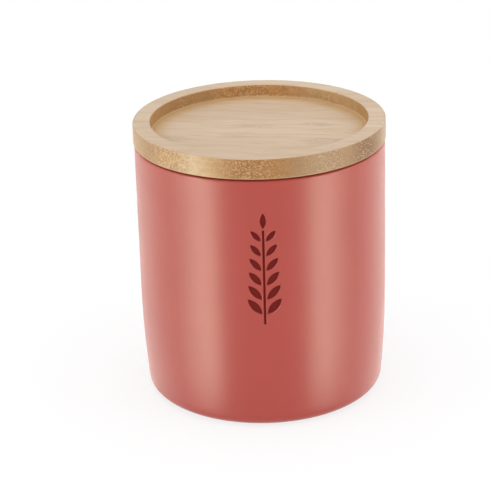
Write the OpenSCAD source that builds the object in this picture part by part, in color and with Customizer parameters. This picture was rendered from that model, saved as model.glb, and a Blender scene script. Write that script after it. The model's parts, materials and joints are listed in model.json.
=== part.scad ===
// Round cotton jar: a cast ceramic jar, a turned bamboo lid with a tray in its top, and the
// silicone seal ring round the plug beneath the lid.
// Sizes are millimetres. +Z is up, and the origin is the middle of the foot, on the table.

/* [Jar] */
// Height of the rim above the table
jar_h = 103.8; // [80:0.1:160]
// Diameter of the straight part of the wall
jar_d = 99.4; // [80:0.1:140]
// Thickness of the cast wall
wall_t = 4.5; // [3.8:0.1:8]
// Thickness of the cast bottom
bottom_t = 5.5; // [3:0.1:8]
// Height at which the wall starts to draw in towards the base
sweep_h = 43; // [28:1:60]
// Radius of the slow curve that draws the wall in
sweep_r = 440; // [250:1:800]
// Radius of the tight bend round the base
base_round = 5; // [2:0.1:8]
// Radius of the bend between the inner wall and the floor
floor_round = 12; // [4:0.5:15]
// Rounding of the rim, inside and outside
lip_round = 1.1; // [0.6:0.1:1.6]

/* [Foot] */
// Width of the ring that the jar stands on
foot_w = 4; // [2:0.1:10]
// Depth of the hollow inside that ring
foot_hollow = 1.5; // [0.8:0.1:3]
// Rounding at the roof of the hollow
hollow_round = 0.7; // [0.2:0.1:0.75]

/* [Lid] */
// How far the lid stands out past the jar's wall
lid_over = 0.3; // [0:0.05:5]
// Thickness of the lid above the jar's rim
lid_t = 8.8; // [7:0.1:16]
// Width of the raised rim round the tray
rim_w = 6.9; // [4:0.1:20]
// Depth of the tray in the lid's top
tray_depth = 5.2; // [2:0.1:7.5]
// Radius of the bend between the tray's wall and its floor
tray_round = 0.8; // [0.3:0.1:1.9]
// Rounding of the lid's outer edges
lid_edge = 0.7; // [0.3:0.1:2]
// Rounding of the tray's upper edge
tray_edge = 0.5; // [0.2:0.1:1]
// Height of the relief round the lid's underside, which shows as a dark line
relief_h = 0.5; // [0.2:0.1:1]
// How far the relief reaches in from the jar's wall
relief_w = 2; // [1.5:0.1:3]

/* [Plug] */
// Depth that the plug reaches into the jar's mouth
plug_h = 9.5; // [9:0.1:20]
// Gap all round between the plug and the jar's mouth
plug_gap = 1.6; // [1:0.1:3]
// Rounding of the plug's lower edge
plug_edge = 0.8; // [0.3:0.1:1]
// Distance from the lid's underside down to the seal's groove
groove_drop = 2.5; // [2:0.1:3.5]
// Height of the groove
groove_w = 5; // [3:0.1:5.5]
// Depth of the groove
groove_depth = 2; // [1:0.1:4]

/* [Seal] */
// Number of fins that wipe the jar's mouth
fin_count = 3; // [1:1:3]
// Thickness of a fin
fin_t = 0.6; // [0.3:0.05:0.8]
// Angle at which a fin leans up and outwards
fin_lean = 25; // [5:1:35]
// Gap between a fin's tip and the jar's mouth
fin_gap = 0.15; // [0.05:0.05:0.3]
// How far the seal's band stands out of the groove
band_out = 0.3; // [0.1:0.05:0.5]
// Rounding of the band's outer edges
band_round = 0.25; // [0.1:0.05:0.4]
// Gap between the seal and the bottom of its groove
seal_play = 0.05; // [0.02:0.01:0.2]

/* [Hidden] */

jar_r = jar_d / 2;
mouth_r = jar_r - wall_t;
floor_z = foot_hollow + bottom_t;
lip_z = jar_h - 2 * lip_round;
lid_r = jar_r + lid_over;
lid_top = jar_h + lid_t;
seat_r = jar_r - relief_w;
tray_r = lid_r - rim_w;
tray_z = lid_top - tray_depth;
plug_r = mouth_r - plug_gap;
plug_z = jar_h - plug_h;
groove_r = plug_r - groove_depth;
groove_z = jar_h - groove_drop - groove_w;
band_r = plug_r + band_out;
fin_end = mouth_r - fin_gap - fin_t / 2;

jar_colour = "#b8564b";
lid_colour = "#cdad86";
seal_colour = "#e6e8e6";

// How far an arc stands proud of the line that it runs into, so that the two cross at one clear point
proud = 0.0005;
// Segments of a full turn
turn_fn = 180;
// Segments of the small roundings
round_fn = 64;
// Segments of the wide circle that the slow curve is taken from
sweep_fn = 1440;

// Centre of the bend that joins the slow curve to the flat at z_low
function bend_x(wall_r, curve_r, z_low, bend_r) =
    wall_r - curve_r + sqrt(pow(curve_r - bend_r, 2) - pow(sweep_h - z_low - bend_r, 2));

foot_in_r = bend_x(jar_r, sweep_r, 0, base_round) - foot_w;

// Half-section that stands on z_low, bends up, draws out along the slow curve and rises straight to z_high
module drawn_in_half(wall_r, curve_r, z_low, bend_r, z_high) {
    centre_x = bend_x(wall_r, curve_r, z_low, bend_r);
    centre_z = z_low + bend_r;
    // The two arcs share a tangent where the line through their centres crosses them
    lean = atan2(sweep_h - centre_z, centre_x - wall_r + curve_r);
    join_z = centre_z - bend_r * sin(lean);
    reach = wall_r + bend_r;
    intersection() {
        translate([0, z_low]) square([wall_r, z_high - z_low]);
        union() {
            translate([-reach, sweep_h]) square([2 * reach, z_high]);
            translate([wall_r - curve_r, sweep_h]) circle(curve_r + proud, $fn = sweep_fn);
        }
        union() {
            translate([-reach, join_z]) square([2 * reach, z_high]);
            translate([-reach, z_low - bend_r]) square([reach + centre_x, 2 * bend_r]);
            translate([centre_x, centre_z]) circle(bend_r + 2 * proud, $fn = round_fn);
        }
    }
}

// Half-section with a rounding of its own at each corner: lower inner, lower outer, upper outer, upper inner
module rounded_half(x_in, z_low, x_out, z_high, radii) {
    lo_in = radii[0];
    lo_out = radii[1];
    hi_out = radii[2];
    hi_in = radii[3];
    polygon([
        [x_in + lo_in, z_low], [x_out - lo_out, z_low],
        [x_out, z_low + lo_out], [x_out, z_high - hi_out],
        [x_out - hi_out, z_high], [x_in + hi_in, z_high],
        [x_in, z_high - hi_in], [x_in, z_low + lo_in]
    ]);
    centres = [
        [x_in + lo_in, z_low + lo_in], [x_out - lo_out, z_low + lo_out],
        [x_out - hi_out, z_high - hi_out], [x_in + hi_in, z_high - hi_in]
    ];
    for (i = [0 : 3])
        if (radii[i] > 0) translate(centres[i]) circle(radii[i], $fn = round_fn);
}

// Cut that rounds the upper inner edge of a ring whose bore has the radius bore_r
module inner_edge_cut(bore_r, z_top, r) {
    difference() {
        translate([bore_r, z_top - r]) square([r, r]);
        translate([bore_r + r, z_top - r]) circle(r, $fn = round_fn);
    }
}

// One sealing fin, rooted in the band at height z
module fin_half(z) {
    length = (fin_end - plug_r) / cos(fin_lean);
    translate([plug_r, z]) rotate(fin_lean) {
        translate([0, -fin_t / 2]) square([length, fin_t]);
        translate([length, 0]) circle(d = fin_t, $fn = round_fn);
    }
}

// Cast jar: one wall of even thickness, a rounded rim, and a foot ring round a hollow base
module jar() {
    color(jar_colour) rotate_extrude($fn = turn_fn) {
        difference() {
            drawn_in_half(jar_r, sweep_r, 0, base_round, lip_z);
            drawn_in_half(mouth_r, sweep_r - wall_t, floor_z, floor_round, lip_z);
            rounded_half(0, 0, foot_in_r, foot_hollow, [0, 0, hollow_round, 0]);
        }
        rounded_half(mouth_r, lip_z, jar_r, jar_h, [0, 0, lip_round, lip_round]);
    }
}

// Turned lid: a disc with a tray in its top, a flat ring that lies on the jar's rim, and a plug
// with a groove for the seal
module lid() {
    color(lid_colour) rotate_extrude($fn = turn_fn) difference() {
        union() {
            rounded_half(0, jar_h + relief_h, lid_r, lid_top, [0, lid_edge, lid_edge, 0]);
            translate([0, jar_h]) square([seat_r, relief_h]);
            rounded_half(0, plug_z, plug_r, jar_h, [0, plug_edge, 0, 0]);
        }
        rounded_half(0, tray_z, tray_r, lid_top, [0, tray_round, 0, 0]);
        inner_edge_cut(tray_r, lid_top, tray_edge);
        translate([groove_r, groove_z]) square([groove_depth, groove_w]);
    }
}

// Moulded seal ring: a band held in the plug's groove, with fins that reach towards the jar's mouth
module seal_ring() {
    band_radii = [0, band_round, band_round, 0];
    color(seal_colour) rotate_extrude($fn = turn_fn) {
        rounded_half(groove_r + seal_play, groove_z, band_r, groove_z + groove_w, band_radii);
        for (i = [0 : fin_count - 1]) fin_half(groove_z + groove_w * (i + 1/2) / fin_count);
    }
}

jar();
lid();
seal_ring();
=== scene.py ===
# %% [markdown]
# # A cotton jar of matte coral earthenware with a bamboo lid
#
# The real object is three pieces: a slip-cast jar, a lid turned from a glued bamboo board, and
# a silicone ring in a groove round the lid's plug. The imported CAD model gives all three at
# their real size, so this lesson starts from it and adds what CAD doesn't hold: the finish of
# each surface, the engraving on the jar's front, the light and the camera. Sizes are written in
# millimetres and turned to metres where Blender needs them.

# %% Load the frame
import json
import math

import bpy
import numpy as np
from mathutils import Matrix, Vector

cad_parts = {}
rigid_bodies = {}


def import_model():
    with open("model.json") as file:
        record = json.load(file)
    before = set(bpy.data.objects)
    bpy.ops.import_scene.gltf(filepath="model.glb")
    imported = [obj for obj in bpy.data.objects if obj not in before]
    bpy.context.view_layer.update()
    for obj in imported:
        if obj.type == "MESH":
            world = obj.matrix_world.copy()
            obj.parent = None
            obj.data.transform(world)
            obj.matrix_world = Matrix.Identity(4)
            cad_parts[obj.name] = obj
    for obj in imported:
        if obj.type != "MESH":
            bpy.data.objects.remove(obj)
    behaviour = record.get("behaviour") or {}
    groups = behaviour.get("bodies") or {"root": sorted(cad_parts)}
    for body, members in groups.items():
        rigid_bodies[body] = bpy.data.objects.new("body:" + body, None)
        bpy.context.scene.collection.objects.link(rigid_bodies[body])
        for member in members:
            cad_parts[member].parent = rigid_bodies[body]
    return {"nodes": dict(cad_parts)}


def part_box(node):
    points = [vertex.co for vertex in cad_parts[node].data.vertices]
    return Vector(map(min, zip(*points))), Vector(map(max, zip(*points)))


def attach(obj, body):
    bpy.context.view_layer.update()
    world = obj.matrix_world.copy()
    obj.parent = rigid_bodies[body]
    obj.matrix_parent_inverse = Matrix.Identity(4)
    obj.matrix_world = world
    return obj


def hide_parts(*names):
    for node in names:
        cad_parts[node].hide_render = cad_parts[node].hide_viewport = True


for startup_object in list(bpy.data.objects):
    bpy.data.objects.remove(startup_object)
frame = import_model()
bpy.context.view_layer.update()
MM = 0.001

# %% [markdown]
# The frame says where each piece lies. The heights and radii that this script needs are read
# from the boxes of the CAD nodes, so that the Blender pieces meet the CAD ones exactly.

# %% Read the main sizes
_, jar_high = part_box("jar")
_, lid_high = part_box("lid")
JAR_R = jar_high.x / MM
JAR_H = jar_high.z / MM
LID_R = lid_high.x / MM
LID_TOP = lid_high.z / MM
print(f"jar radius {JAR_R:.2f}, rim at {JAR_H:.1f}; lid radius {LID_R:.2f}, top at {LID_TOP:.1f}")

# %% [markdown]
# ## Camera
#
# The photograph looks down on the jar by about 22 degrees through a long lens, so the two rims
# are flat ellipses and the walls hardly converge. The distance and the focal length were chosen
# together: they make the rim ellipses and the narrowing of the wall meet those in the
# photograph. The small pan, tilt and roll are how the real camera was held.

# %% Place the camera
IMAGE_LONG_SIDE = 491
FOCAL_PX = 1935.9
CAMERA_DISTANCE = 784.1
CAMERA_AIM_HEIGHT = 60.0
ELEVATION = math.radians(21.84)
PAN = math.radians(0.51)
TILT = math.radians(-0.13)
ROLL = math.radians(1.45)

camera_data = bpy.data.cameras.new("camera")
camera_data.sensor_width = 36.0
camera_data.lens = FOCAL_PX * camera_data.sensor_width / IMAGE_LONG_SIDE
camera = bpy.data.objects.new("camera", camera_data)
bpy.context.scene.collection.objects.link(camera)
camera_height = CAMERA_AIM_HEIGHT + CAMERA_DISTANCE * math.sin(ELEVATION)
camera_place = Vector((0, -CAMERA_DISTANCE * math.cos(ELEVATION), camera_height)) * MM
camera.matrix_world = (
    Matrix.Translation(camera_place)
    @ Matrix.Rotation(math.pi / 2 - ELEVATION, 4, "X")
    @ Matrix.Rotation(PAN, 4, "Y")
    @ Matrix.Rotation(TILT, 4, "X")
    @ Matrix.Rotation(-ROLL, 4, "Z")
)
bpy.context.scene.camera = camera
print(f"lens {camera_data.lens:.1f} mm on a {camera_data.sensor_width:.0f} mm sensor")

# %% [markdown]
# ## Two helpers for materials
#
# Every material here is a small graph of nodes. One function adds a node: its settings are
# keyword arguments, and its inputs are either plain values or the outputs of other nodes.
# Colours are written as the sRGB hex values that a colour picker shows. Blender's sockets want
# linear light, so one function turns a hex value into it.

# %% Define the helpers
def linear(hex_colour):
    """The linear RGBA of an sRGB hex colour such as "#c8695d"."""
    shares = [int(hex_colour[i : i + 2], 16) / 255 for i in (1, 3, 5)]
    curve = [s / 12.92 if s <= 0.04045 else ((s + 0.055) / 1.055) ** 2.4 for s in shares]
    return (*curve, 1.0)


def add(tree, kind, inputs=None, **settings):
    """Adds a node with its settings, and fills or links its inputs by name or number."""
    made = tree.nodes.new(kind)
    for name, value in settings.items():
        setattr(made, name, value)
    for name, value in (inputs or {}).items():
        if isinstance(value, bpy.types.NodeSocket):
            tree.links.new(value, made.inputs[name])
        else:
            made.inputs[name].default_value = value
    return made


def new_material(name):
    """An empty material with its output node, as (material, tree, output)."""
    material = bpy.data.materials.new(name)
    material.use_nodes = True
    material.node_tree.nodes.clear()
    output = material.node_tree.nodes.new("ShaderNodeOutputMaterial")
    return material, material.node_tree, output


# Sockets of the Mix node: numbers 2 and 3 take plain values, and 6 and 7 take colours
VALUE_A, VALUE_B = 2, 3
MIX_A, MIX_B, MIX_RESULT = 6, 7, 2
print("coral in linear light:", [round(c, 3) for c in linear("#c8695d")])

# %% [markdown]
# ## Floor, background and lamps
#
# The photograph is a cut-out on pure white. A wide white floor gives the jar something to stand
# on and keeps its soft shadow. To the camera and to mirror-like reflections the floor and the
# world show white, and to all other rays they are only as bright as plain studio light needs.
# Light Path tells these rays apart. The floor's own shading, which holds the shadow, is mixed in
# near the jar only, so the far floor joins the white world without a horizon. Reflections pass
# through the floor, as they would on a sheet of clear acrylic over a white sweep.

# %% Build the stage
WHITE_SEEN = ("Is Camera Ray", "Is Glossy Ray", "Is Transmission Ray")
FLOOR_HALF = 6.0
SHADOW_SHARE = 0.22
SHADOW_NEAR = 0.06
SHADOW_FAR = 0.22
AMBIENT = 0.74


def seen_directly(tree):
    """An output that is 1 for camera, glossy and transmission rays, and 0 for the rest."""
    path = add(tree, "ShaderNodeLightPath")
    first = add(
        tree, "ShaderNodeMath", {0: path.outputs[WHITE_SEEN[0]], 1: path.outputs[WHITE_SEEN[1]]},
        operation="MAXIMUM",
    )
    return add(
        tree, "ShaderNodeMath", {0: first.outputs[0], 1: path.outputs[WHITE_SEEN[2]]},
        operation="MAXIMUM",
    ).outputs[0]


floor_mesh = bpy.data.meshes.new("floor")
corners = [(-FLOOR_HALF, -FLOOR_HALF, 0), (FLOOR_HALF, -FLOOR_HALF, 0),
           (FLOOR_HALF, FLOOR_HALF, 0), (-FLOOR_HALF, FLOOR_HALF, 0)]
floor_mesh.from_pydata(corners, [], [(0, 1, 2, 3)])
floor = bpy.data.objects.new("floor", floor_mesh)
bpy.context.scene.collection.objects.link(floor)
floor.visible_glossy = False

floor_paint, tree, output = new_material("matte_white_board")
board = add(tree, "ShaderNodeBsdfDiffuse", {"Color": linear("#f4f4f4")})
glow = add(tree, "ShaderNodeEmission", {"Color": (1, 1, 1, 1), "Strength": 1.0})
from_jar = add(
    tree, "ShaderNodeVectorMath",
    {0: add(tree, "ShaderNodeTexCoord").outputs["Object"]}, operation="LENGTH",
)
glow_share = add(
    tree, "ShaderNodeMapRange",
    {
        "Value": from_jar.outputs["Value"], "From Min": SHADOW_NEAR, "From Max": SHADOW_FAR,
        "To Min": 1 - SHADOW_SHARE, "To Max": 1.0,
    },
)
share = add(
    tree, "ShaderNodeMath", {0: seen_directly(tree), 1: glow_share.outputs[0]},
    operation="MULTIPLY",
)
blend = add(
    tree, "ShaderNodeMixShader",
    {0: share.outputs[0], 1: board.outputs[0], 2: glow.outputs[0]},
)
tree.links.new(blend.outputs[0], output.inputs["Surface"])
floor_mesh.materials.append(floor_paint)

world = bpy.data.worlds.new("studio")
world.use_nodes = True
bpy.context.scene.world = world
tree = world.node_tree
tree.nodes.clear()
seen_white = add(tree, "ShaderNodeBackground", {"Color": (1, 1, 1, 1), "Strength": 1.0})
ambient = add(tree, "ShaderNodeBackground", {"Color": (1, 1, 1, 1), "Strength": AMBIENT})
sky = add(
    tree, "ShaderNodeMixShader",
    {0: seen_directly(tree), 1: ambient.outputs[0], 2: seen_white.outputs[0]},
)
out = add(tree, "ShaderNodeOutputWorld")
tree.links.new(sky.outputs[0], out.inputs["Surface"])
print("floor and world ready")

# %% [markdown]
# The light that shapes the jar comes from wide softboxes overhead and at both sides. Each lamp
# is given by its radiance, the brightness at which its face would be seen, and Blender's power
# in watts follows from that and from its area.
#
# The wall also carries two soft pale bands, one each side of a dark middle. Where the wall faces
# a given azimuth, it mirrors what stands at about 1.7 times that azimuth, and because it is seen
# from above, it mirrors what is low. So bands at 26 and 28 degrees mean lit strips at 44 and 46
# degrees that stand close by and reach below the table. Softer panels beside them keep the wall
# pale further round, and cards behind the jar lift its edges.
#
# These strips, panels and cards shine in reflections only, as a photographer's white cards do:
# they draw lines on the glaze and leave its colour alone. Diffuse rays don't see them. Multiple
# importance sampling is off too, because a ray that it sends out for the gloss would still bring
# some of their light to the matte colour. The floor is left out of what blocks them, because
# their lower ends stand below it.

# %% Hang the lamps
# In the photograph, the light that the pale bands add to the wall has a fifth less blue than green
CARD_WHITE = (1.0, 0.98, 0.8)

not_blocking = bpy.data.collections.new("not_blocking")
not_blocking.objects.link(floor)
not_blocking.collection_objects[0].light_linking.link_state = "EXCLUDE"


def softbox(name, azimuth, distance, height, width, tall, radiance, aim_height, card=False):
    """A rectangular lamp at an azimuth round the jar, turned to its axis. Lengths in metres."""
    data = bpy.data.lights.new(name, "AREA")
    data.shape = "RECTANGLE"
    data.size = width
    data.size_y = tall
    data.energy = radiance * math.pi * width * tall
    lamp = bpy.data.objects.new(name, data)
    bpy.context.scene.collection.objects.link(lamp)
    angle = math.radians(azimuth)
    place = Vector((math.sin(angle) * distance, -math.cos(angle) * distance, height))
    aim = Vector((0, 0, aim_height)) - place
    lamp.location = place
    lamp.rotation_euler = aim.to_track_quat("-Z", "Y").to_euler()
    lamp.visible_camera = False
    if card:
        data.color = CARD_WHITE
        data.cycles.use_multiple_importance_sampling = False
        lamp.light_linking.blocker_collection = not_blocking
        lamp.visible_diffuse = False
        lamp.visible_transmission = False


# Name, azimuth, distance, height, width, length, radiance and the height that it faces
softbox("top_softbox", 0, 0.05, 1.1, 0.9, 0.9, 2.0, 0.0)
softbox("left_softbox", -70, 0.9, 0.45, 0.5, 0.7, 1.4, 0.1)
softbox("right_softbox", 70, 0.9, 0.45, 0.5, 0.7, 1.2, 0.1)
softbox("left_strip", -44, 0.122, 0.056, 0.04, 0.188, 3.7, 0.056, card=True)
softbox("left_soft_edge", -52, 0.125, 0.05, 0.09, 0.2, 2.2, 0.05, card=True)
softbox("right_strip", 46, 0.122, 0.056, 0.04, 0.188, 3.3, 0.056, card=True)
softbox("right_soft_edge", 53, 0.125, 0.05, 0.09, 0.2, 1.9, 0.05, card=True)
softbox("left_card", -116, 0.15, 0.05, 0.19, 0.3, 0.88, 0.05, card=True)
softbox("right_card", 119, 0.15, 0.05, 0.19, 0.3, 0.84, 0.05, card=True)

# %% [markdown]
# ## The jar's shape
#
# A cast jar is a body of revolution, so its mesh can be a profile that is turned round the
# axis. The CAD node has that form already, but the engraving needs a mesh with many small
# faces just where it is cut. So the jar is turned again here, from the same profile, with rows
# and columns that lie close together on the front and far apart elsewhere.

# %% Draw the profile
WALL = 4.5
BOTTOM = 5.5
SWEEP_TOP = 43.0
SWEEP_R = 440.0
BASE_BEND = 5.0
FLOOR_BEND = 12.0
LIP_ROUND = 1.1
FOOT_RING = 4.0
FOOT_HOLLOW = 1.5
HOLLOW_ROUND = 0.7


def arc(centre_r, centre_z, radius, start, end, steps):
    """Points of an arc, in degrees anticlockwise from the outward direction."""
    angles = [math.radians(start + (end - start) * i / steps) for i in range(steps + 1)]
    return [(centre_r + radius * math.cos(a), centre_z + radius * math.sin(a)) for a in angles]


def drawn_in(wall_r, sweep_r, z_low, bend):
    """The bend and the slow curve that lead from a flat at z_low up to a wall of radius wall_r."""
    bend_z = z_low + bend
    bend_r = wall_r - sweep_r + math.sqrt((sweep_r - bend) ** 2 - (SWEEP_TOP - bend_z) ** 2)
    lean = math.degrees(math.atan2(SWEEP_TOP - bend_z, bend_r - wall_r + sweep_r))
    tight = arc(bend_r, bend_z, bend, -90, -lean, 12)
    slow = arc(wall_r - sweep_r, SWEEP_TOP, sweep_r, -lean, 0, 10)
    return tight + slow[1:]


outside = drawn_in(JAR_R, SWEEP_R, 0.0, BASE_BEND)
inside = drawn_in(JAR_R - WALL, SWEEP_R - WALL, FOOT_HOLLOW + BOTTOM, FLOOR_BEND)
foot_in = outside[0][0] - FOOT_RING
foot = [(0.0, FOOT_HOLLOW)]
foot += arc(foot_in - HOLLOW_ROUND, FOOT_HOLLOW - HOLLOW_ROUND, HOLLOW_ROUND, 90, 0, 5)
foot += [(foot_in, 0.0)]
print(f"foot ring from {foot_in:.1f} to {outside[0][0]:.1f} mm")

# %% [markdown]
# ## The engraving
#
# The front of the jar carries a small engraving that is painted dark: a plain sprig of leaves, a
# common ornament. Each leaf is the lens shape where two discs overlap, so the distance from a
# point to its edge is a short formula. Where that distance is negative the wall is pushed in by
# the engraving's depth, with a soft shoulder, as a glazed edge has. How far each point is cut is
# also stored on the mesh as a number for the paint, so cut and colour always agree.

# %% Describe the sprig
SPRIG_Z = 68.0
STEM_LOW = -22.5
STEM_HIGH = 15.5
STEM_HALF = 0.42
LEAF_PAIRS = 6
LEAF_LEAN = 42.0
LEAF_LONG = 8.2
LEAF_SHORT = 5.6
LEAF_SLIM = 0.19
LEAF_GAP = 1.0
TIP_LONG = 6.2
BARE_STEM = 4.0
CUT_DEPTH = 0.55
SHOULDER = 0.3


def leaf_edge(u, v, root_u, root_v, lean, length):
    """Distance in mm to the edge of a leaf that grows from its root, negative inside."""
    half_width = LEAF_SLIM * length
    side_r = (length**2 / 4 + half_width**2) / (2 * half_width)
    turn = math.radians(lean)
    along = (u - root_u) * math.sin(turn) + (v - root_v) * math.cos(turn) - length / 2
    across = np.abs((u - root_u) * math.cos(turn) - (v - root_v) * math.sin(turn))
    return np.hypot(along, across + side_r - half_width) - side_r


def sprig_edge(u, v):
    """Distance in mm to the sprig's edge, for u round the wall and v up it."""
    stem = np.hypot(u, v - np.clip(v, STEM_LOW, STEM_HIGH)) - STEM_HALF
    tip = leaf_edge(u, v, 0.0, STEM_HIGH + LEAF_GAP, 0.0, TIP_LONG)
    nearest = np.minimum(stem, tip)
    for i in range(LEAF_PAIRS):
        share = i / (LEAF_PAIRS - 1)
        root_v = STEM_LOW + BARE_STEM + share * (STEM_HIGH - STEM_LOW - 2 * BARE_STEM)
        length = LEAF_LONG + share * (LEAF_SHORT - LEAF_LONG)
        for side in (-1, 1):
            leaf = leaf_edge(u, v, side * LEAF_GAP, root_v, side * LEAF_LEAN, length)
            nearest = np.minimum(nearest, leaf)
    return nearest


print(f"sprig is {STEM_HIGH + LEAF_GAP + TIP_LONG - STEM_LOW:.0f} mm high")

# %% [markdown]
# The rows and columns of the mesh are two lists of positions. On the front they are 0.18 mm
# apart, fine enough for a clean edge, and elsewhere a column takes two degrees and a straight
# stretch of wall takes a few rows.

# %% Lay out rows and columns
FINE = 0.18
SPRIG_HALF_WIDTH = 8.0
SPRIG_MARGIN = 1.5
SPRIG_REACH_LOW = STEM_LOW - SPRIG_MARGIN
SPRIG_REACH_HIGH = STEM_HIGH + LEAF_GAP + TIP_LONG + SPRIG_MARGIN
COARSE_DEGREES = 2.0
SPRIG_AZIMUTH = math.radians(0.5)

fine_angle = FINE / JAR_R
front_half = SPRIG_HALF_WIDTH / JAR_R
fine_columns = np.arange(-front_half, front_half + fine_angle / 2, fine_angle)
coarse_count = round(math.degrees(2 * math.pi - 2 * front_half) / COARSE_DEGREES)
coarse_columns = np.linspace(front_half, 2 * math.pi - front_half, coarse_count + 1)[1:-1]
columns = np.concatenate([fine_columns, coarse_columns])

wall_rows = [
    *np.arange(SPRIG_Z + SPRIG_REACH_LOW, SPRIG_Z + SPRIG_REACH_HIGH, FINE),
    *np.linspace(SPRIG_Z + SPRIG_REACH_HIGH, JAR_H - LIP_ROUND, 4)[:-1],
]
lip = arc(JAR_R - LIP_ROUND, JAR_H - LIP_ROUND, LIP_ROUND, 0, 90, 8)
lip += arc(JAR_R - WALL + LIP_ROUND, JAR_H - LIP_ROUND, LIP_ROUND, 90, 180, 8)
bore = [(JAR_R - WALL, z) for z in np.linspace(JAR_H - LIP_ROUND, SWEEP_TOP, 6)[1:-1]]
profile = foot + outside + [(JAR_R, z) for z in wall_rows] + lip + bore + inside[::-1]
profile += [(0.0, FOOT_HOLLOW + BOTTOM)]
print(f"{len(profile)} rows, {len(columns)} columns")

# %% [markdown]
# Now the profile is turned. The first and last points lie on the axis, so they become one
# vertex each with a fan of triangles, and all other faces are four-sided. Edges that turn by
# more than 35 degrees stay sharp in the shading.

# %% Turn the jar
SHARP_ANGLE = math.radians(35)


def turn(name, profile, azimuths, pushed_in=0.0):
    """An object turned from a profile in mm, with pushed_in taken off each point's radius."""
    rows = np.array(profile[1:-1])
    azimuth, radius = np.meshgrid(azimuths, rows[:, 0])
    height = np.repeat(rows[:, 1:2], len(azimuths), axis=1)
    radius = radius - pushed_in
    grid = np.stack([radius * np.sin(azimuth), -radius * np.cos(azimuth), height], axis=-1)
    row_count, column_count = radius.shape
    ends = [(0, 0, profile[0][1]), (0, 0, profile[-1][1])]
    vertices = np.concatenate([grid.reshape(-1, 3), ends]) * MM
    axis_low, axis_high = len(vertices) - 2, len(vertices) - 1
    last = (row_count - 1) * column_count
    faces = []
    for j in range(column_count):
        k = (j + 1) % column_count
        faces.append((axis_low, k, j))
        faces.append((axis_high, last + j, last + k))
        for here in range(0, last, column_count):
            above = here + column_count
            faces.append((here + j, here + k, above + k, above + j))
    mesh = bpy.data.meshes.new(name)
    mesh.from_pydata(vertices.tolist(), [], faces)
    mesh.validate()
    mesh.polygons.foreach_set("use_smooth", [True] * len(mesh.polygons))
    mesh.set_sharp_from_angle(angle=SHARP_ANGLE)
    turned = bpy.data.objects.new(name, mesh)
    bpy.context.scene.collection.objects.link(turned)
    print(f"{name}: {len(mesh.vertices)} vertices, {len(mesh.polygons)} faces")
    return turned


rows = np.array(profile[1:-1])
around = (columns + math.pi) % (2 * math.pi) - math.pi
edge = sprig_edge(around[np.newaxis, :] * JAR_R, rows[:, 1:2] - SPRIG_Z)
on_wall = (rows[:, 0:1] > JAR_R - 0.01) & (rows[:, 1:2] > SWEEP_TOP)
inside_cut = np.clip(0.5 - edge / SHOULDER, 0, 1)
cut = np.where(on_wall, inside_cut**2 * (3 - 2 * inside_cut), 0.0)
jar = turn("glazed_jar", profile, columns + SPRIG_AZIMUTH, CUT_DEPTH * cut)
paint = jar.data.attributes.new("engraving", "FLOAT", "POINT")
paint.data.foreach_set("value", np.append(cut.ravel(), [0, 0]).astype(np.float32))
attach(jar, "jar")
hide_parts("jar")

# %% [markdown]
# ## Matte coral glaze
#
# The jar is cast earthenware under a matte coral glaze. A matte glaze is glass with fine
# crystals in it: its index of refraction is that of glass, about 1.5, and the crystals spread
# the reflection, so lamps show as wide soft bands. The sprayed coat is not quite even, which a
# slow noise gives as a slight cloudiness. The cut of the engraving is painted dark, and the
# foot ring is wiped bare, so that the jar doesn't stick to the kiln shelf.

# %% Colour the glaze
GLAZE_CLOUD_MM = 14.0
FOOT_WIPED_MM = 0.3

glaze, tree, output = new_material("matte_glazed_earthenware")
place = add(tree, "ShaderNodeTexCoord").outputs["Object"]
cloud = add(
    tree, "ShaderNodeTexNoise",
    {"Vector": place, "Scale": 1 / (GLAZE_CLOUD_MM * MM), "Detail": 3.0, "Roughness": 0.5},
)
coat = add(
    tree, "ShaderNodeMix",
    {0: cloud.outputs[0], MIX_A: linear("#ae3f33"), MIX_B: linear("#b64539")},
    data_type="RGBA",
)
engraving = add(tree, "ShaderNodeAttribute", attribute_name="engraving")
coat_and_paint = add(
    tree, "ShaderNodeMix",
    {0: engraving.outputs["Fac"], MIX_A: coat.outputs[MIX_RESULT], MIX_B: linear("#731310")},
    data_type="RGBA",
)
height_mm = add(
    tree, "ShaderNodeMath",
    {0: add(tree, "ShaderNodeSeparateXYZ", {0: place}).outputs["Z"], 1: 1 / MM},
    operation="MULTIPLY",
)
wiped = add(
    tree, "ShaderNodeMapRange",
    {
        "Value": height_mm.outputs[0], "From Min": 0.0, "From Max": FOOT_WIPED_MM,
        "To Min": 1.0, "To Max": 0.0,
    },
)
surface = add(
    tree, "ShaderNodeMix",
    {0: wiped.outputs[0], MIX_A: coat_and_paint.outputs[MIX_RESULT], MIX_B: linear("#d9cfc0")},
    data_type="RGBA",
)
print(f"the lowest {FOOT_WIPED_MM} mm show bare clay")

# %% [markdown]
# The crystals make an eggshell surface. Real ones are well under a tenth of a millimetre, too
# fine to show here, so the grain is drawn at a third of a millimetre. It lifts the surface a
# hair and varies its roughness a little. The paint in the cut is duller than the glaze.

# %% Give the glaze its surface
GLAZE_GRAIN_MM = 0.35
PAINT_ROUGHNESS = 0.75
PAINT_GLOSS = 0.15

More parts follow.
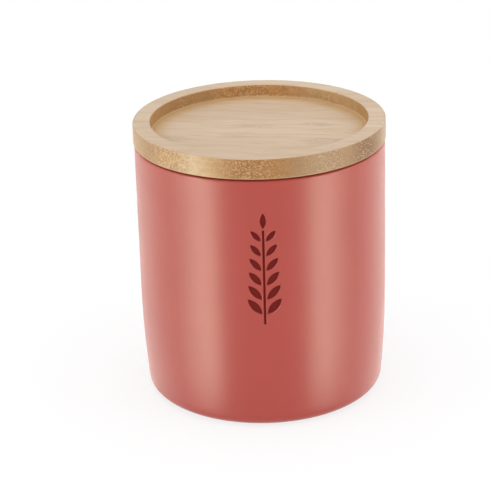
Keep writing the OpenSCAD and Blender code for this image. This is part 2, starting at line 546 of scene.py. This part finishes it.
grain = add(
    tree, "ShaderNodeTexNoise",
    {"Vector": place, "Scale": 1 / (GLAZE_GRAIN_MM * MM), "Detail": 2.0, "Roughness": 0.5},
)
bump = add(
    tree, "ShaderNodeBump",
    {"Height": grain.outputs[0], "Strength": 0.12, "Distance": 0.05 * MM},
)
rough = add(
    tree, "ShaderNodeMapRange",
    {"Value": grain.outputs[0], "From Min": 0.3, "From Max": 0.7, "To Min": 0.33, "To Max": 0.37},
)
rough = add(
    tree, "ShaderNodeMix",
    {0: engraving.outputs["Fac"], VALUE_A: rough.outputs[0], VALUE_B: PAINT_ROUGHNESS},
)
gloss = add(
    tree, "ShaderNodeMix", {0: engraving.outputs["Fac"], VALUE_A: 0.5, VALUE_B: PAINT_GLOSS}
)
shader = add(
    tree, "ShaderNodeBsdfPrincipled",
    {
        "Base Color": surface.outputs[MIX_RESULT],
        "Roughness": rough.outputs[0],
        "IOR": 1.5,
        "Specular IOR Level": gloss.outputs[0],
        "Normal": bump.outputs[0],
    },
)
tree.links.new(shader.outputs[0], output.inputs["Surface"])
jar.data.materials.append(glaze)
print("glaze nodes:", len(tree.nodes))

# %% [markdown]
# ## The lid's shape
#
# The lid is turned on a lathe, so it gets the same treatment: its profile, with the CAD sizes, is
# swept round in half-degree steps. The CAD node's own mesh is as true, but its small roundings
# are cut into few long triangles, and along the lid's front edge those would show as notches
# where the tone changes. A row of points beside each rounding keeps the flat faces flat in the
# shading.

# %% Turn the lid
LID_STEPS = 720
RIM_WIDTH = 6.9
TRAY_DEPTH = 5.2
TRAY_BEND = 0.8
TRAY_EDGE = 0.5
LID_EDGE = 0.7
RELIEF_HEIGHT = 0.5
RELIEF_WIDTH = 2.0
PLUG_DEPTH = 9.5
PLUG_GAP = 1.6
PLUG_EDGE = 0.8
GROOVE_DROP = 2.5
GROOVE_HEIGHT = 5.0
GROOVE_DEPTH = 2.0
BESIDE = 0.1

TRAY_R = LID_R - RIM_WIDTH
tray_z = LID_TOP - TRAY_DEPTH
plug_r = JAR_R - WALL - PLUG_GAP
plug_z = JAR_H - PLUG_DEPTH
seat_r = JAR_R - RELIEF_WIDTH
disc_z = JAR_H + RELIEF_HEIGHT
groove_top = JAR_H - GROOVE_DROP
groove_low = groove_top - GROOVE_HEIGHT
edge_r = LID_R - LID_EDGE

lid_profile = [(0.0, plug_z), (plug_r - PLUG_EDGE - BESIDE, plug_z)]
lid_profile += arc(plug_r - PLUG_EDGE, plug_z + PLUG_EDGE, PLUG_EDGE, -90, 0, 8)
lid_profile += [(plug_r, groove_low), (plug_r - GROOVE_DEPTH, groove_low)]
lid_profile += [(plug_r - GROOVE_DEPTH, groove_top), (plug_r, groove_top)]
lid_profile += [(plug_r, JAR_H), (seat_r, JAR_H), (seat_r, disc_z), (edge_r - BESIDE, disc_z)]
lid_profile += arc(edge_r, disc_z + LID_EDGE, LID_EDGE, -90, 0, 8)
lid_profile += [(LID_R, disc_z + LID_EDGE + BESIDE), (LID_R, LID_TOP - LID_EDGE - BESIDE)]
lid_profile += arc(edge_r, LID_TOP - LID_EDGE, LID_EDGE, 0, 90, 8)
lid_profile += [(edge_r - BESIDE, LID_TOP), (TRAY_R + TRAY_EDGE + BESIDE, LID_TOP)]
lid_profile += arc(TRAY_R + TRAY_EDGE, LID_TOP - TRAY_EDGE, TRAY_EDGE, 90, 180, 8)
lid_profile += [(TRAY_R, LID_TOP - TRAY_EDGE - BESIDE), (TRAY_R, tray_z + TRAY_BEND + BESIDE)]
lid_profile += arc(TRAY_R - TRAY_BEND, tray_z + TRAY_BEND, TRAY_BEND, 0, -90, 8)
lid_profile += [(TRAY_R - TRAY_BEND - BESIDE, tray_z), (0.0, tray_z)]
lid_turns = np.linspace(0, 2 * math.pi, LID_STEPS, endpoint=False)
lid = turn("turned_lid", lid_profile, lid_turns)
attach(lid, "lid")
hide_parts("lid")

# %% [markdown]
# ## Sanded bamboo board
#
# The lid is turned from a board of bamboo strips that lie side by side and are glued together.
# On this lid they run eight degrees off the X axis. Bamboo is a bundle of stiff brown fibres in
# a pale straw-coloured pith. Where the board is cut along the fibres, on its flat faces, they
# show as long fine streaks. Where it is cut across them, on the round edges, they show as
# brown dots, and the cut drinks in more light, so the edge is darker and more golden. Each
# strip has its own tone.

# %% Give the board its strips
GRAIN_TURN = math.radians(8)
STRIP_MM = 21.0
JOINT_MM = -8.4
JOINT_HALF_MM = 0.16

bamboo, tree, output = new_material("sanded_laminated_bamboo")
coordinates = add(tree, "ShaderNodeTexCoord")
place = add(
    tree, "ShaderNodeMapping",
    {
        "Vector": coordinates.outputs["Object"], "Rotation": (0, 0, GRAIN_TURN),
        "Scale": (1 / MM, 1 / MM, 1 / MM),
    },
).outputs[0]
along, across, up = add(tree, "ShaderNodeSeparateXYZ", {0: place}).outputs


def calculate(operation, *inputs):
    """The output of one Math node."""
    return add(tree, "ShaderNodeMath", dict(enumerate(inputs)), operation=operation).outputs[0]


def blend_colours(share, first, second):
    """The output of one colour mix."""
    return add(
        tree, "ShaderNodeMix", {0: share, MIX_A: first, MIX_B: second}, data_type="RGBA"
    ).outputs[MIX_RESULT]


def grain_noise(size_mm, detail, sway=0.0, at=place):
    """Noise whose blobs have the given sizes in mm along, across and up the board."""
    scale = [1 / size for size in size_mm]
    stretched = add(tree, "ShaderNodeMapping", {"Vector": at, "Scale": scale})
    return add(
        tree, "ShaderNodeTexNoise",
        {
            "Vector": stretched.outputs[0], "Scale": 1.0, "Detail": detail,
            "Roughness": 0.55, "Distortion": sway,
        },
    ).outputs[0]


def step(value, low, high):
    """A smooth rise from 0 at low to 1 at high; it falls where low is the larger."""
    rising = low < high
    return add(
        tree, "ShaderNodeMapRange",
        {
            "Value": value, "From Min": min(low, high), "From Max": max(low, high),
            "To Min": 0.0 if rising else 1.0, "To Max": 1.0 if rising else 0.0,
        },
        interpolation_type="SMOOTHSTEP",
    ).outputs[0]


strip_place = calculate("DIVIDE", calculate("SUBTRACT", across, JOINT_MM), STRIP_MM)
strip_number = calculate("FLOOR", strip_place)
strip_tone = add(
    tree, "ShaderNodeTexWhiteNoise", {"W": strip_number}, noise_dimensions="1D"
).outputs[0]
from_joint = calculate("MULTIPLY", calculate("PINGPONG", strip_place, 0.5), STRIP_MM)
joint = step(from_joint, 2 * JOINT_HALF_MM, JOINT_HALF_MM)
print("strips are", STRIP_MM, "mm wide")

# %% [markdown]
# The flat faces take two layers of streaks: fine fibres, and broad bands of darker and paler
# fibre. Both are stretched along the strips, and both follow one slow wave, because a stem is
# never quite straight. Single fibres are thinner than a pixel here, so the fine streaks are
# drawn half a millimetre wide.

# %% Streak the flat faces
WAVE_MM = 9.0
WAVE_SIZE_MM = (32.0, 22.0, 22.0)
FINE_STREAK_MM = (15.0, 0.55, 0.55)
BROAD_STREAK_MM = (34.0, 3.2, 3.2)

wave = calculate(
    "MULTIPLY", calculate("SUBTRACT", grain_noise(WAVE_SIZE_MM, 1.0), 0.5), WAVE_MM
)
wavy = add(
    tree, "ShaderNodeCombineXYZ", {0: along, 1: calculate("ADD", across, wave), 2: up}
).outputs[0]
fine_streaks = grain_noise(FINE_STREAK_MM, 4.0, 0.5, wavy)
broad_streaks = grain_noise(BROAD_STREAK_MM, 3.0, 0.8, wavy)
flat_tone = blend_colours(strip_tone, linear("#bba48a"), linear("#c3ad92"))
flat_tone = blend_colours(
    calculate("MULTIPLY", step(broad_streaks, 0.42, 0.66), 0.45), flat_tone, linear("#ae9071")
)
flat_tone = blend_colours(
    calculate("MULTIPLY", step(fine_streaks, 0.47, 0.7), 0.35), flat_tone, linear("#a98a69")
)
print("fine streaks are", FINE_STREAK_MM[1], "mm wide")

# %% [markdown]
# Short dark flecks crowd together in a few places, where a knuckle of the stem was near: each
# group has its middle and its half length and half width, in millimetres on the board. The
# strips meet in glue lines, which show only here and there, dark at first and pale with dried
# glue at the right-hand rim. A soft golden rim is painted round the tray's floor: painted shade
# in the corner, and painted reflected light that the golden wall throws on the floor.

# %% Add flecks, glue lines and the painted shade in the tray's corner
FLECK_GROUPS = [(23, 8, 9, 4), (29, -13, 14, 6), (-2, 4, 13, 3), (-36, -13, 14, 5)]
FLECK_MM = (4.5, 0.8, 0.8)
GLUE_PATCH_MM = (12.0, 50.0, 50.0)
PAINTED_CORNER_SHADE_MM = 8.0

group = None
for group_x, group_y, half_long, half_wide in FLECK_GROUPS:
    near = add(
        tree, "ShaderNodeMapping",
        {
            "Vector": place, "Scale": (1 / half_long, 1 / half_wide, 0),
            "Location": (-group_x / half_long, -group_y / half_wide, 0),
        },
    )
    distance = add(tree, "ShaderNodeVectorMath", {0: near.outputs[0]}, operation="LENGTH")
    blob = step(distance.outputs["Value"], 1.0, 0.2)
    group = blob if group is None else calculate("MAXIMUM", group, blob)
flecks = step(grain_noise(FLECK_MM, 3.0, 1.4, wavy), 0.5, 0.64)
fleck_share = calculate("MULTIPLY", flecks, calculate("MULTIPLY_ADD", group, 0.62, 0.08))
flat_tone = blend_colours(fleck_share, flat_tone, linear("#87674b"))
flat_tone = blend_colours(calculate("MULTIPLY", group, 0.16), flat_tone, linear("#a08873"))
glue_tone = blend_colours(step(along, 30.0, 40.0), linear("#7a5736"), linear("#e6d8bd"))
glue_shows = calculate(
    "MAXIMUM", step(grain_noise(GLUE_PATCH_MM, 1.0), 0.52, 0.66), step(along, 38.0, 42.0)
)
glue_share = calculate("MULTIPLY", calculate("MULTIPLY", joint, glue_shows), 0.5)
flat_tone = blend_colours(glue_share, flat_tone, glue_tone)
from_axis = calculate("SQRT", calculate(
    "ADD", calculate("MULTIPLY", along, along), calculate("MULTIPLY", across, across)
))
in_tray = step(up, LID_TOP - 1.0, LID_TOP - 2.0)
# Painted shade and painted reflected light: a golden rim round the tray's floor at the wall's foot
painted_corner_shade = calculate("MULTIPLY", step(from_axis, TRAY_R - PAINTED_CORNER_SHADE_MM, TRAY_R), in_tray)
flat_tone = blend_colours(calculate("MULTIPLY", painted_corner_shade, 0.7), flat_tone, linear("#b18a52"))
print(len(FLECK_GROUPS), "groups of flecks")

# %% [markdown]
# The round edges are listed by azimuth, from the back, past the left, the front and the right,
# to the back again: the tone of the strip that is cut there, and how strongly its cut fibres
# show. Their order is that of the photograph. The rows past 90 degrees either way are what the
# tray's wall shows to the camera, and the hidden back of the lid's edge shares them.

# %% Tone the round edges
EDGE_TONES = {
    "pale": "#cfae80", "straw": "#c4975f", "honey": "#b58a55", "amber": "#be8b54",
    "gold": "#ae793d", "bronze": "#ab8150", "wheat": "#c09a6b", "tan": "#a2784b",
    "sand": "#b99e7f", "umber": "#80501f",
}
CUT_FIBRES = [
    (-180, "amber", 0.8), (-163, "amber", 0.9), (-150, "bronze", 0.1), (-132, "bronze", 0.7),
    (-126, "bronze", 0.1), (-100, "honey", 0.1), (-72, "honey", 0.1), (-58, "bronze", 0.4),
    (-48, "straw", 1.0), (-40, "straw", 1.0), (-31, "pale", 0.3), (-22, "straw", 0.1),
    (-12, "gold", 0.8), (0, "gold", 1.0), (8, "gold", 0.3), (17, "tan", 0.1),
    (28, "tan", 0.5), (36, "tan", 0.6), (43, "tan", 0.1), (52, "umber", 1.0),
    (59, "umber", 0.8), (67, "tan", 0.2), (77, "sand", 0.1), (100, "honey", 0.1),
    (125, "wheat", 0.1), (141, "wheat", 0.7), (150, "wheat", 0.1), (166, "amber", 0.5),
    (180, "amber", 0.8),
]
MOTTLE_MM = (4.0, 2.5, 2.5)
EDGE_LINE_MM = (14.0, 14.0, 0.5)

flat_x, flat_y, _ = add(
    tree, "ShaderNodeSeparateXYZ",
    {0: add(tree, "ShaderNodeMapping", {
        "Vector": coordinates.outputs["Object"], "Scale": (1 / MM, 1 / MM, 1 / MM),
    }).outputs[0]},
).outputs
angle_round = calculate("ARCTAN2", flat_x, calculate("MULTIPLY", flat_y, -1.0))
turn_share = calculate("ADD", calculate("DIVIDE", angle_round, 2 * math.pi), 0.5)


def ramp_round(colours):
    """A colour ramp over the azimuth, with one stop for each row of the list."""
    made = add(tree, "ShaderNodeValToRGB", {0: turn_share})
    stops = made.color_ramp.elements
    while len(stops) < len(CUT_FIBRES):
        stops.new(0.5)
    for stop, (azimuth, _, _), colour in zip(stops, CUT_FIBRES, colours):
        stop.position = azimuth / 360 + 0.5
        stop.color = colour
    return made.outputs[0]


edge_tone = ramp_round([linear(EDGE_TONES[tone]) for _, tone, _ in CUT_FIBRES])
fibre_strength = ramp_round([(shown, shown, shown, 1.0) for _, _, shown in CUT_FIBRES])
mottle = step(grain_noise(MOTTLE_MM, 2.0), 0.4, 0.65)
mottle_share = calculate(
    "MULTIPLY", mottle, calculate("MULTIPLY_ADD", fibre_strength, 0.25, 0.15)
)
edge_tone = blend_colours(mottle_share, edge_tone, linear("#8f6535"))
edge_lines = step(grain_noise(EDGE_LINE_MM, 3.0), 0.45, 0.7)
edge_tone = blend_colours(calculate("MULTIPLY", edge_lines, 0.22), edge_tone, linear("#966d3c"))
print(len(CUT_FIBRES), "stops round the edge")

# %% [markdown]
# The cut ends are one fine noise. Its low places are brown bundles of fibre and its high places
# are pale pith. Real bundles are about half a millimetre across; these are a touch coarser, and
# longer along the board, so that they draw out into dashes where the edge runs along it. A pale
# band on the lower rounding is a painted highlight, for the light it catches from the floor.

# %% Add the cut fibres and a painted highlight
CUT_END_MM = (0.84, 0.6, 0.6)

cut_ends = grain_noise(CUT_END_MM, 2.0)
fibres = step(cut_ends, 0.48, 0.36)
pith = step(cut_ends, 0.52, 0.64)
edge_tone = blend_colours(
    calculate("MULTIPLY", calculate("MULTIPLY", fibres, fibre_strength), 0.6),
    edge_tone, linear("#7d5326"),
)
edge_tone = blend_colours(
    calculate("MULTIPLY", calculate("MULTIPLY", pith, fibre_strength), 0.5),
    edge_tone, linear("#e2c08c"),
)
# Painted highlight: a pale band on the lower rounding, for light from the floor
painted_floor_highlight = step(up, JAR_H + 1.5, JAR_H + 0.7)
edge_tone = blend_colours(calculate("MULTIPLY", painted_floor_highlight, 0.25), edge_tone, linear("#e6c9a6"))
print("cut bundles are", CUT_END_MM[1], "mm across")

# %% [markdown]
# A face that looks up or down shows the streaks, and one that looks sideways shows the cut
# fibres. The rim's outer rounding is painted a little darker and greyer towards the back, a
# painted shade for the edge that turns away. The sanded wood is dull, with a faint relief along
# the grain.

# %% Finish the bamboo
upward = calculate(
    "ABSOLUTE", add(tree, "ShaderNodeSeparateXYZ", {0: coordinates.outputs["Normal"]}).outputs["Z"]
)
tone = blend_colours(step(upward, 0.45, 0.85), edge_tone, flat_tone)
rounding = calculate(
    "MULTIPLY", step(from_axis, LID_R - 0.9, LID_R - 0.4), step(up, LID_TOP - 1.2, LID_TOP - 0.6)
)
# Painted shade: the back of the rim's outer rounding turns darker and greyer
painted_back_edge_shade = calculate("MULTIPLY", calculate("MULTIPLY", rounding, step(flat_y, -20.0, 5.0)), 0.4)
tone = blend_colours(painted_back_edge_shade, tone, linear("#8b8072"))
relief = add(
    tree, "ShaderNodeBump", {"Height": fine_streaks, "Strength": 0.25, "Distance": 0.06 * MM}
)
shader = add(
    tree, "ShaderNodeBsdfPrincipled",
    {"Base Color": tone, "Roughness": 0.5, "IOR": 1.5, "Normal": relief.outputs[0]},
)
tree.links.new(shader.outputs[0], output.inputs["Surface"])
lid.data.materials.append(bamboo)
print("bamboo nodes:", len(tree.nodes))

# %% [markdown]
# ## Moulded silicone
#
# The seal ring is clear silicone rubber. It looks milky because light wanders in it before it
# comes out again, which subsurface scattering gives, and a little light goes straight through
# the thin fins. Silicone bends light less than glass does, with an index of 1.41. The mould was
# lightly blasted, so the skin is satin with a very fine grain, and the mix is a touch cloudy.
# The CAD node's own mesh has all its fins, so it stays and only takes the material.

# %% Make the silicone
SILICONE_CLOUD_MM = 3.0
SILICONE_GRAIN_MM = 0.2

silicone, tree, output = new_material("moulded_translucent_silicone")
place = add(tree, "ShaderNodeTexCoord").outputs["Object"]
cloud = add(
    tree, "ShaderNodeTexNoise",
    {"Vector": place, "Scale": 1 / (SILICONE_CLOUD_MM * MM), "Detail": 2.0},
)
milk = add(
    tree, "ShaderNodeMix",
    {0: cloud.outputs[0], MIX_A: linear("#dddfd9"), MIX_B: linear("#eceee8")}, data_type="RGBA",
)
skin = add(
    tree, "ShaderNodeTexNoise",
    {"Vector": place, "Scale": 1 / (SILICONE_GRAIN_MM * MM), "Detail": 2.0},
)
rough = add(
    tree, "ShaderNodeMapRange",
    {"Value": skin.outputs[0], "From Min": 0.3, "From Max": 0.7, "To Min": 0.36, "To Max": 0.48},
)
bump = add(
    tree, "ShaderNodeBump", {"Height": skin.outputs[0], "Strength": 0.1, "Distance": 0.03 * MM}
)
shader = add(
    tree, "ShaderNodeBsdfPrincipled",
    {
        "Base Color": milk.outputs[MIX_RESULT], "Roughness": rough.outputs[0], "IOR": 1.41,
        "Subsurface Weight": 0.6, "Subsurface Radius": (1.0, 1.0, 1.0),
        "Subsurface Scale": 1.5 * MM, "Transmission Weight": 0.2, "Normal": bump.outputs[0],
    },
)
tree.links.new(shader.outputs[0], output.inputs["Surface"])
frame["nodes"]["seal_ring"].material_slots[0].material = silicone

# %% [markdown]
# ## Finish

# %% Finish
bpy.context.scene.view_settings.view_transform = "Standard"
